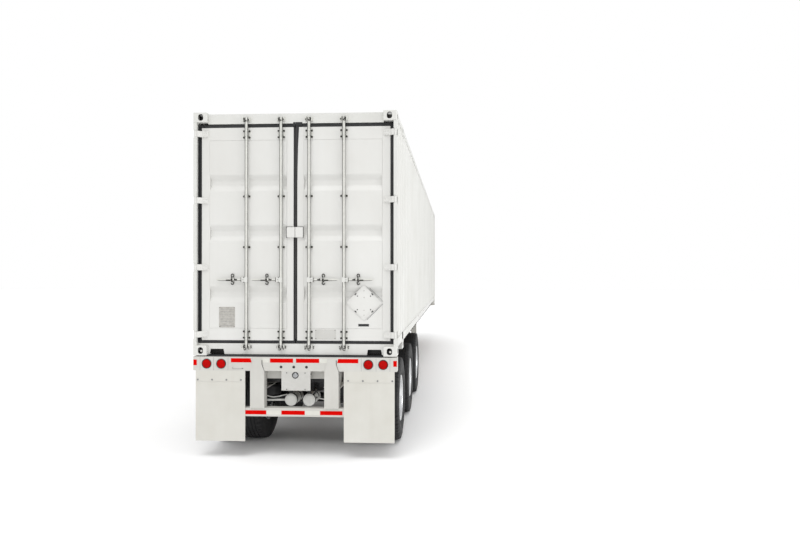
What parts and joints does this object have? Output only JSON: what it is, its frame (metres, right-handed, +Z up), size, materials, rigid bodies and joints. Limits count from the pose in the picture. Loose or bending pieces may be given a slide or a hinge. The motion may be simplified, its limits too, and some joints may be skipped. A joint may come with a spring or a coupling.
{
  "type": "semi trailer with a container body",
  "caption": "Three-axle gooseneck semi trailer with a high-cube container body, two swinging rear doors with lock rods, landing legs, rear guard and twin wheels that turn",
  "frame": {"origin": "On the ground, below the centre of the container body, at the bottom centre of the whole trailer's box", "axes": "+Y points forward to the kingpin, +X to the trailer's right side, +Z up"},
  "size_m": [2.438, 13.716, 4.115],
  "materials": {
    "bare_steel": "greased machined steel",
    "box_paint": "off-white gloss paint on pressed steel",
    "chassis_paint": "off-white paint on welded steel",
    "dark_steel": "black painted steel",
    "door_rubber": "black extruded door gasket",
    "flap_rubber": "off-white moulded flap",
    "floor_wood": "laminated hardwood floor board",
    "red_lens": "red lamp lens",
    "rim_steel": "light grey painted disc wheel",
    "spring_rubber": "black fabric-reinforced bellows",
    "tyre": "black road tyre",
    "underbody_wax": "black wax coating below the floor",
    "zinc_steel": "zinc-coated forged and drawn steel"
  },
  "bodies": {
    "trailer": {"air_reservoirs": "chassis_paint", "air_springs": "spring_rubber", "axles": "dark_steel", "bottom_side_rails": "box_paint", "brake_chambers": "dark_steel", "cam_keepers": "zinc_steel", "cargo_floor": "floor_wood", "chassis_crossmembers": "chassis_paint", "corner_castings": "box_paint", "coupler_plate": "chassis_paint", "door_frame": "box_paint", "floor_crossmembers": "underbody_wax", "front_bolster": "chassis_paint", "front_posts": "box_paint", "front_rails": "box_paint", "front_wall": "box_paint", "hinge_brackets": "box_paint", "kingpin": "bare_steel", "landing_drive": "dark_steel", "landing_legs": "chassis_paint", "left_wall": "box_paint", "main_beams": "chassis_paint", "mud_flaps": "flap_rubber", "plate_bracket": "chassis_paint", "rear_bolster": "chassis_paint", "rear_guard": "chassis_paint", "rear_posts": "box_paint", "right_wall": "box_paint", "roof_panel": "box_paint", "suspension_hangers": "chassis_paint", "tail_lamps": "red_lens", "top_side_rails": "box_paint", "trailing_arms": "dark_steel", "twist_locks": "zinc_steel"},
    "right_door": {"right_door_leaf": "box_paint", "right_door_gasket": "door_rubber", "right_lock_gear": "zinc_steel"},
    "left_door": {"left_door_leaf": "box_paint", "left_door_gasket": "door_rubber", "left_lock_gear": "zinc_steel"},
    "axle1_left_wheels": {"axle1_left_tyres": "tyre", "axle1_left_wheel": "rim_steel"},
    "axle1_right_wheels": {"axle1_right_tyres": "tyre", "axle1_right_wheel": "rim_steel"},
    "axle2_left_wheels": {"axle2_left_tyres": "tyre", "axle2_left_wheel": "rim_steel"},
    "axle2_right_wheels": {"axle2_right_tyres": "tyre", "axle2_right_wheel": "rim_steel"},
    "axle3_left_wheels": {"axle3_left_tyres": "tyre", "axle3_left_wheel": "rim_steel"},
    "axle3_right_wheels": {"axle3_right_tyres": "tyre", "axle3_right_wheel": "rim_steel"}
  },
  "joints": [
    {"name": "right_door_hinge", "type": "hinge", "parent": "trailer", "child": "right_door", "pos_m": [1.199, -6.838, 2.6], "axis": [0, 0, 1], "range_deg": [0, 265]},
    {"name": "left_door_hinge", "type": "hinge", "parent": "trailer", "child": "left_door", "pos_m": [-1.199, -6.838, 2.6], "axis": [0, 0, -1], "range_deg": [0, 265]},
    {"name": "axle1_left_spin", "type": "hinge", "parent": "trailer", "child": "axle1_left_wheels", "pos_m": [-0.8845, -5.838, 0.542], "axis": [1, 0, 0], "continuous": true},
    {"name": "axle1_right_spin", "type": "hinge", "parent": "trailer", "child": "axle1_right_wheels", "pos_m": [0.8845, -5.838, 0.542], "axis": [1, 0, 0], "continuous": true},
    {"name": "axle2_left_spin", "type": "hinge", "parent": "trailer", "child": "axle2_left_wheels", "pos_m": [-0.8845, -4.168, 0.542], "axis": [1, 0, 0], "continuous": true},
    {"name": "axle2_right_spin", "type": "hinge", "parent": "trailer", "child": "axle2_right_wheels", "pos_m": [0.8845, -4.168, 0.542], "axis": [1, 0, 0], "continuous": true},
    {"name": "axle3_left_spin", "type": "hinge", "parent": "trailer", "child": "axle3_left_wheels", "pos_m": [-0.8845, -2.498, 0.542], "axis": [1, 0, 0], "continuous": true},
    {"name": "axle3_right_spin", "type": "hinge", "parent": "trailer", "child": "axle3_right_wheels", "pos_m": [0.8845, -2.498, 0.542], "axis": [1, 0, 0], "continuous": true}
  ]
}
